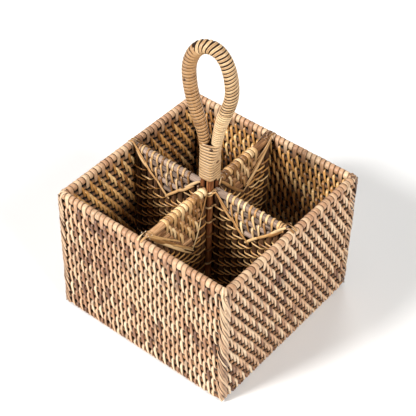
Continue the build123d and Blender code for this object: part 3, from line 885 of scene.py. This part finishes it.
# Rail lashings: two turns of honey cane over the wall end of each rail, and two strands that lie
# along the rail and go over the rim. They hold the top of the divider to the wall.
lashing_cane = (2.2 * mm, 0.9 * mm)
lashing_lean = 1.5 * mm
lashing_turns = (3.5 * mm, 6.5 * mm)  # from the wall end of the rail
lashing_seed = 500
strand_spots = (  # along the rail, aside from it and up
    (divider_high.x - 9 * mm, 4.3 * mm, rail_line - 3 * mm),
    (divider_high.x - 5 * mm, 3.9 * mm, rail_line + 1.5 * mm),
    (divider_high.x - 1.5 * mm, 2.8 * mm, rail_line + 4.0 * mm),
    (wall_line - 2.5 * mm, 2.2 * mm, rim_line + 4.7 * mm),
    (wall_line + 0.5 * mm, 2.0 * mm, rim_line + 4.4 * mm),
    (wall_line + 2.8 * mm, 1.8 * mm, rim_line + 2.6 * mm))
strand_lines = []
for hand in (-1, 1):
    knots = []
    for step, (along, aside, height) in enumerate(strand_spots):
        face = Vector((0.25 * step, hand * (len(strand_spots) - 1 - step), 1 + step)).normalized()
        knots.append((Vector((along, hand * aside, height)), face, 1.0))
    strand_lines.append(knots)
band_line = over_rim(stick_pitch, stick_lift, lashing_lean, False, False)
band_places = [((divider_high.x - offset, 0, rail_line), outside_face, 0) for offset in lashing_turns]
for turn, (side, _, _) in enumerate(halves):
    seed = lashing_seed + 10 * turn
    lashing = joined(f"{side}_rail_strands", [
        sew("band", band_line, lashing_cane, honey_cane, band_places, seed),
        strips("strands", strand_lines, lashing_cane, honey_cane, seed + 5),
    ])
    hand_over(turned(lashing, turn), f"{side}_rail_lashing")

# Centre posts: four rods in a cluster where the dividers cross, from the base up into the neck.
# They are core as well, redder than the walls, with long dark streaks and little wear.
post_low, post_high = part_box("front_right_post")
post_radius = (post_high.x - post_low.x) / 2
post_place = (post_high.x + post_low.x) / 2
post_seed = 51
red_core = stained_core("stained_red_core", ("#4a2817", "#87512e", "#ae7748"), "#160a05", 0.5)


def post_depth(place):
    """How far a point of a post is from the middle of the cluster, past the gap between the posts; nearer
    the middle it gets more painted seam shade.
    """
    return (sqrt(place.x ** 2 + place.y ** 2) - post_place) / post_radius


for turn, corner in enumerate(corners):
    post_ends = [[(post_place, -post_place, post_low.z), (post_place, -post_place, post_high.z)]]
    post = rods(f"{corner}_post_rod", post_ends, post_radius, red_core, post_seed + turn, corners=16)
    shade_depth(post, post_depth)
    hand_over(turned(post, turn), f"{corner}_post")

# Post ties: a strand of honey cane every two courses or so, round the open side of a post from one
# divider to the next, higher at one end because it is one spiral pulled through the dividers.
tie_pitch = 17.5 * mm
tie_count = 7
tie_rise = 2.5 * mm
tie_first = rim_line - 2 * mm
tie_double = 3 * mm  # below the first tie, where a second one lies beside it
tie_cane = (2.2 * mm, 1.5 * mm)
tie_lift = post_radius + 0.4 * mm
tie_start, tie_sweep = -130, 115  # degrees round the post
tie_steps = 7
tie_seed = 540


def tie_line(height):
    """A tie round the front right post, from the front divider up to the face of the right one."""
    knots = []
    for step in range(tie_steps + 1):
        share = step / tie_steps
        angle = radians(tie_start + tie_sweep * share)
        face = Vector((cos(angle), sin(angle), 0))
        place = Vector((post_place, -post_place, height + tie_rise * share ** 2)) + face * tie_lift
        knots.append((place, face, 1.0))
    end_face = Vector((0.3, -1, 0)).normalized()
    for along, out, rise in ((1.5, 1.2, 5.0), (4.5, 0.2, 7.5)):
        place = Vector((post_high.x + along * mm, -stick_lift - out * mm, height + rise * mm))
        knots.append((place, end_face, 0.8))
    return knots


tie_heights = [tie_first - level * tie_pitch for level in range(tie_count)] + [tie_first - tie_double]
tie_lines = [tie_line(height) for height in tie_heights]
ties = [turned(strips("ties", tie_lines, tie_cane, honey_cane, tie_seed + turn), turn)
        for turn in range(len(corners))]
hand_over(joined("post_tie_strands", ties), "post_ties")

# Handle loop: one thick rod of core, bent to a drop shape and spliced to the posts inside the neck.
# Only dark lines of it show between the turns of cane: the rod has no seam depth, so all of it takes its
# near-black seam colour, painted shade for those gaps.
loop_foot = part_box("handle_loop")[0].z
handle_yaw = radians(19.5)
handle_lean = radians(2)
leg_radius = 4.4 * mm  # the rod is shaved thinner where the legs go into the neck
crown_radius = 5.75 * mm
shaved_length = 30 * mm
neck_height = loop_foot + 22 * mm
neck_half = 5.9 * mm
foot_half = 3.55 * mm
belly_half = 17.7 * mm
belly_height = neck_height + 66.8 * mm
crown_height = neck_height + 95.2 * mm
bulge = 2.3 * mm  # of the right side, which is fuller below the belly
bulge_height = neck_height + 50 * mm
bulge_reach = 30 * mm
curve_steps = 40
loop_seed = 61
loop_right = Vector((cos(handle_yaw), sin(handle_yaw), 0))
loop_up = Vector(upward)
loop_front = loop_right.cross(loop_up)
# Its seam colour covers the whole rod: painted shade in the gaps between the turns.
gap_shaded_core = stained_core("gap_shaded_dark_core", ("#2e1b0f", "#4f3320", "#6f4e33"), "#2e1b0f", 0.6)


def lean_at(height):
    """How far the loop leans over to the left at a height."""
    return tan(handle_lean) * max(height - neck_height, 0)


def on_loop(across, height):
    """A point of the loop's plane, with its lean above the neck."""
    return loop_right * (across - lean_at(height)) + loop_up * height


def bulged(point):
    """A point of the right side of the loop, moved out to that side's fuller curve."""
    off = between((point.z - bulge_height) / bulge_reach, -1, 1)
    return point + loop_right * bulge * cos(right_angle * off) ** 2


def loop_points():
    """Points of the rod's line from the right foot over the crown to the left foot."""
    foot = on_loop(foot_half, loop_foot)
    neck = on_loop(neck_half, neck_height)
    belly = on_loop(belly_half, belly_height)
    crown = on_loop(0, crown_height)
    leg_run = (neck - foot).normalized()
    up = (loop_up - loop_right * tan(handle_lean)).normalized()
    level = loop_right * cos(handle_lean) + loop_up * sin(handle_lean)
    rise = belly_height - neck_height
    crown_rise = crown_height - belly_height
    neck_share, belly_share, round_share = 0.36, 0.4, 0.552  # lengths of the curves' handles
    half = [foot]
    half += interpolate_bezier(
        neck, neck + leg_run * rise * neck_share, belly - up * rise * belly_share, belly, curve_steps)
    half += interpolate_bezier(
        belly, belly + up * crown_rise * round_share, crown + level * belly_half * round_share, crown,
        curve_steps)[1:]
    mirrored = []
    for point in reversed(half[:-1]):
        across = point.dot(loop_right) + lean_at(point.z)
        mirrored.append(on_loop(-across, point.z))
    return [bulged(point) for point in half] + mirrored


def loop_radius(height):
    """Radius of the rod at a height."""
    return leg_radius + (crown_radius - leg_radius) * between((height - neck_height) / shaved_length, 0, 1)


loop_line = loop_points()
loop_knots = [(point, loop_front, loop_radius(point.z) / crown_radius) for point in loop_line]
loop_size = (2 * crown_radius, 2 * crown_radius)
loop_core = strips("handle_loop_rod", [loop_knots], loop_size, gap_shaded_core, loop_seed)
hand_over(loop_core, "handle_loop")

# Handle whippings: one strip wound close up the right leg, two side by side with open, slanted turns
# over the crown, and one more down the left leg. The cane is glossy, cream, straw and tan, with painted
# shade on its sides and in the dark lines between its turns, and a brown scar where a leaf grew.
# The second colour of each is the painted shade on the strips' sides, and of the straw cane also down its
# slit.
straw_cane = split_cane("straw_split_cane", (
    (0.0, "#a57d52"), (0.25, "#c9a172"), (0.6, "#d9b383"), (1.0, "#e8c99b"),
), "#2f1c0f", 0.4, 0.18 * mm, 0.34 * mm)
tan_cane = split_cane("tan_split_cane", (
    (0.0, "#855c36"), (0.25, "#ab8052"), (0.6, "#c1986a"), (1.0, "#d6b184"),
), "#563820", 0.4, 0.12 * mm)
cream_cane = split_cane("cream_split_cane", (
    (0.0, "#a67c52"), (0.2, "#cfa676"), (0.6, "#e8c798"), (1.0, "#f5deb8"),
), "#5a3c22", 0.4, 0.16 * mm)
scar_cane = split_cane("scarred_split_cane", (
    (0.0, "#3a2212"), (0.4, "#52331b"), (1.0, "#6f4a2b"),
), "#3a2414", 0.5, 0.1 * mm)
whip_cane = (4 * mm, 0.55 * mm)
turn_steps = 16
whip_seed = 71
lengths = [0]  # of the loop's line up to each of its points
for start, end in zip(loop_line, loop_line[1:]):
    lengths.append(lengths[-1] + (end - start).length)
loop_length = lengths[-1]
neck_start = lengths[1]
whip_start = neck_start - 3 * mm
whip_meet = neck_start + 0.555 * (loop_length - 2 * neck_start)
whip_change = whip_start + 0.3 * (whip_meet - whip_start)
left_start = whip_meet - 2.2 * mm
tuck_start, tuck_end = 0.135, 0.15  # where a tucked end holds two turns of the left leg apart
slant_turn = radians(58)  # the slant is steepest on the front of the loop
slant_start, slant_end = 0.41, 0.86  # of the crown's winding, where the slant swings over
crowding = 0.25  # how far a bend crowds the turns on its inside
face_tilt = 0.06  # each turn lies a little over the one before it


def loop_at(distance):
    """The point and the direction of the loop's line at a distance along it."""
    step = max(place for place in range(len(loop_line) - 1) if lengths[place] <= distance)
    start = loop_line[step]
    end = loop_line[step + 1]
    share = (distance - lengths[step]) / (lengths[step + 1] - lengths[step])
    return start.lerp(end, share), (end - start).normalized()


def bend_at(distance):
    """How sharply the loop's line turns at a distance along it, as one over its radius."""
    reach = 3 * mm
    return (loop_at(distance + reach)[1] - loop_at(distance - reach)[1]).length / (2 * reach)


def winding(start, end, pitch_of, width_of, slant_of, strands):
    """Knots of right-handed strands wound side by side between two distances. The pitch of a strand in mm,
    the share of it that its width fills and the slant of its turns in mm go by the share of the way."""
    lines = []
    for strand in range(strands):
        knots = []
        distance = start
        angle = 2 * pi * strand / strands
        while distance < end:
            share = (distance - start) / (end - start)
            point, way = loop_at(distance + slant_of(share) * mm * sin(angle + slant_turn))
            face = way.cross(loop_front) * cos(angle) - loop_front * sin(angle)
            pitch = pitch_of(share) * mm
            out = loop_radius(point.z) + whip_cane[1] / 2
            spread = 1 + crowding * out * bend_at(distance) * cos(angle)
            uneven = 0.04 * sin(0.41 * angle) + 0.03 * sin(0.17 * angle + 1)
            width = pitch * (width_of(share) * spread + uneven)
            knots.append((point + face * out, (face + face_tilt * way).normalized(), width / whip_cane[0]))
            distance += strands * pitch / turn_steps
            angle += 2 * pi / turn_steps
        lines.append(knots)
    return lines


def evenly(start, change=0.0):
    """A pitch, a width or a slant that starts at a value and changes evenly on the way."""
    return lambda share: start + change * share


def crown_pitch(share):
    """Wide turns over the crown."""
    return 2.8 + 0.4 * between(3 * share, 0, 1)


def crown_slant(share):
    """Turns that slant up to the right on the belly of the loop and the other way over the crown."""
    return 1.8 - 5.5 * between((share - slant_start) / (slant_end - slant_start), 0, 1)


def left_width(share):
    """Turns that touch below the crown and draw apart towards the neck, with a slit at the tucked end."""
    return 0.7 if tuck_start < share < tuck_end else 1.0 - 0.12 * share


scar_size = (3.0 * mm, 1.0 * mm)
scar_lift = 0.2 * mm
left_scar_step = 9 * turn_steps + 13


def leaf_scar(knots, step):
    """Knots of the brown mark that a leaf left on the skin, a short swelling at a step of a winding."""
    place, face, _ = knots[step]
    before, after = [place.lerp(knots[near][0], 0.55) for near in (step - 1, step + 1)]
    return [(spot + face * scar_lift, face, scar_girth)
            for spot, scar_girth in ((before, 0.35), (place, 1.0), (after, 0.3))]


leg_pitch = evenly(2.0, 0.5)  # close turns that open out towards the crown
leg_width = evenly(0.84)
crown_width = evenly(0.66, 0.14)  # leaves the dark rod open between the turns, less so over the crown
left_pitch = evenly(3.3)
no_slant = evenly(0.0)
leg_turns = winding(whip_start, whip_change, leg_pitch, leg_width, no_slant, 1)
crown_turns = winding(whip_change, whip_meet, crown_pitch, crown_width, crown_slant, 2)
left_turns = winding(left_start, loop_length - whip_start, left_pitch, left_width, no_slant, 1)
right_whipping = joined("right_handle_whipping_cane", [
    strips("leg_turns", leg_turns, whip_cane, cream_cane, whip_seed),
    strips("crown_turns", crown_turns, whip_cane, straw_cane, whip_seed + 3),
])
hand_over(right_whipping, "right_handle_whipping")
left_whipping = joined("left_handle_whipping_cane", [
    strips("left_turns", left_turns, whip_cane, tan_cane, whip_seed + 1),
    strips("left_scars", [leaf_scar(left_turns[0], left_scar_step)], scar_size, scar_cane, whip_seed + 4),
])
hand_over(left_whipping, "left_handle_whipping")

# Neck binding: one strip of wheat-coloured cane wound over the posts and both legs, from a square of
# four posts at the bottom to a flat oval at the top, with its lowest turn doubled into a roll.
neck_low, neck_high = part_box("neck_binding")
neck_turns = 13
neck_turn_steps = 20
neck_steps = neck_turns * neck_turn_steps
neck_corner = 4.35 * mm  # from the middle of a post or a leg out to the binding
neck_top_depth = 0.8 * mm
neck_width = 2.85 * mm
roll_share = 0.35  # how much thicker the roll is
neck_seed = 73
neck_scar_steps = (11 * neck_turn_steps + 16, 7 * neck_turn_steps)
# Its second colour is the painted shade on the strip's sides.
wheat_cane = split_cane("wheat_split_cane", (
    (0.0, "#98704a"), (0.22, "#c1996b"), (0.6, "#d6b184"), (1.0, "#e8cca3"),
), "#4c3220", 0.4, 0.16 * mm)


def neck_point(share):
    """A point of the neck binding, part of the way up it."""
    height = neck_low.z + neck_width / 2 + share * (neck_high.z - neck_low.z - neck_width)
    blend = between((height - loop_foot) / (neck_height - loop_foot), 0, 1)
    half_width = post_place + blend * (neck_half - post_place) + neck_corner
    half_depth = post_place + blend * (neck_top_depth - post_place) + neck_corner
    angle = 2 * pi * neck_turns * share
    squareness = 0.5 + 0.4 * blend
    across = copysign(abs(cos(angle)) ** squareness, cos(angle)) * half_width
    inward = copysign(abs(sin(angle)) ** squareness, sin(angle)) * half_depth
    spin = Matrix.Rotation(blend * handle_yaw, 3, "Z")
    return spin @ Vector((across, inward, 0)) + Vector((0, 0, height))


neck_points = [neck_point(step / neck_steps) for step in range(neck_steps + 1)]
neck_line = []
for step, (point, face) in enumerate(zip(neck_points, square_faces(neck_points))):
    roll = roll_share * between(1 - step / neck_steps * neck_turns, 0, 1)
    neck_line.append((point, face, 1.0 + roll))
neck_scars = [leaf_scar(neck_line, step) for step in neck_scar_steps]
neck_cane = joined("neck_winding", [
    strips("neck_turns", [neck_line], (neck_width, whip_cane[1]), wheat_cane, neck_seed),
    strips("neck_scars", neck_scars, scar_size, scar_cane, neck_seed + 3),
])
hand_over(neck_cane, "neck_binding")

# Studio: a pale matt floor and a white surround that gives next to no light of its own.
# Four far-off soft lights: a key at the front left, a fill at the right, faint ones above and behind.
floor_reach = 12.0
floor_mesh = bpy.data.meshes.new("floor")
floor_corners = [(x * floor_reach, y * floor_reach, 0) for x, y in ((-1, -1), (1, -1), (1, 1), (-1, 1))]
floor_mesh.from_pydata(floor_corners, [], [(0, 1, 2, 3)])
floor = bpy.data.objects.new("floor", floor_mesh)
bpy.context.scene.collection.objects.link(floor)
floor_paint = bpy.data.materials.new("pale_floor")
floor_paint.use_nodes = True
matt = floor_paint.node_tree.nodes["Principled BSDF"].inputs
matt["Base Color"].default_value = colour("#f6f5f3")
matt["Roughness"].default_value = 0.9
floor_mesh.materials.append(floor_paint)

surround = bpy.data.worlds.new("surround")
surround.use_nodes = True
glow = surround.node_tree.nodes["Background"].inputs
glow["Color"].default_value = colour("#ffffff")
glow["Strength"].default_value = 0.02
bpy.context.scene.world = surround
bpy.context.scene.view_settings.view_transform = "Standard"


def looking_from(azimuth, elevation):
    """The direction to a viewer or a light, round from the front to the right and up from the level."""
    return Vector((sin(azimuth) * cos(elevation), -cos(azimuth) * cos(elevation), sin(elevation)))


def soft_light(name, azimuth, elevation, spread, strength):
    """A soft light from far off, from so many degrees round and up, that looks so many degrees wide."""
    lamp = bpy.data.lights.new(name, "SUN")
    lamp.angle = radians(spread)
    lamp.energy = strength
    light = bpy.data.objects.new(name, lamp)
    away = looking_from(radians(azimuth), radians(elevation))
    light.location = away + Vector((0, 0, rim_line))
    light.rotation_euler = away.to_track_quat("Z", "Y").to_euler()
    bpy.context.scene.collection.objects.link(light)


soft_light("key_light", -25, 34, 17, 4.3)
soft_light("fill_light", 85, 34, 25, 2.65)
soft_light("top_light", 0, 85, 40, 0.36)
soft_light("back_light", 215, 35, 30, 0.9)

# Camera: the photograph's own viewpoint, a long lens that looks down on the corner between the front
# and the right wall. Its place, angles and focal length were fitted to the rim and the upright corners.
image_size = 416
focal_pixels = 1277
view_azimuth = radians(38.16)
view_elevation = radians(43.36)
view_roll = radians(1.46)
view_place = Vector((0.509, -0.649, 0.889))
level_right = Vector((cos(view_azimuth), sin(view_azimuth), 0))
view_back = looking_from(view_azimuth, view_elevation)
level_up = view_back.cross(level_right)
view_right = level_right * cos(view_roll) + level_up * sin(view_roll)
view_up = level_up * cos(view_roll) - level_right * sin(view_roll)
view_turn = Matrix((view_right, view_up, view_back)).transposed().to_4x4()
lens = bpy.data.cameras.new("camera")
lens.lens = lens.sensor_width * focal_pixels / image_size
camera = bpy.data.objects.new("camera", lens)
camera.matrix_world = Matrix.Translation(view_place) @ view_turn
bpy.context.scene.collection.objects.link(camera)
bpy.context.scene.camera = camera
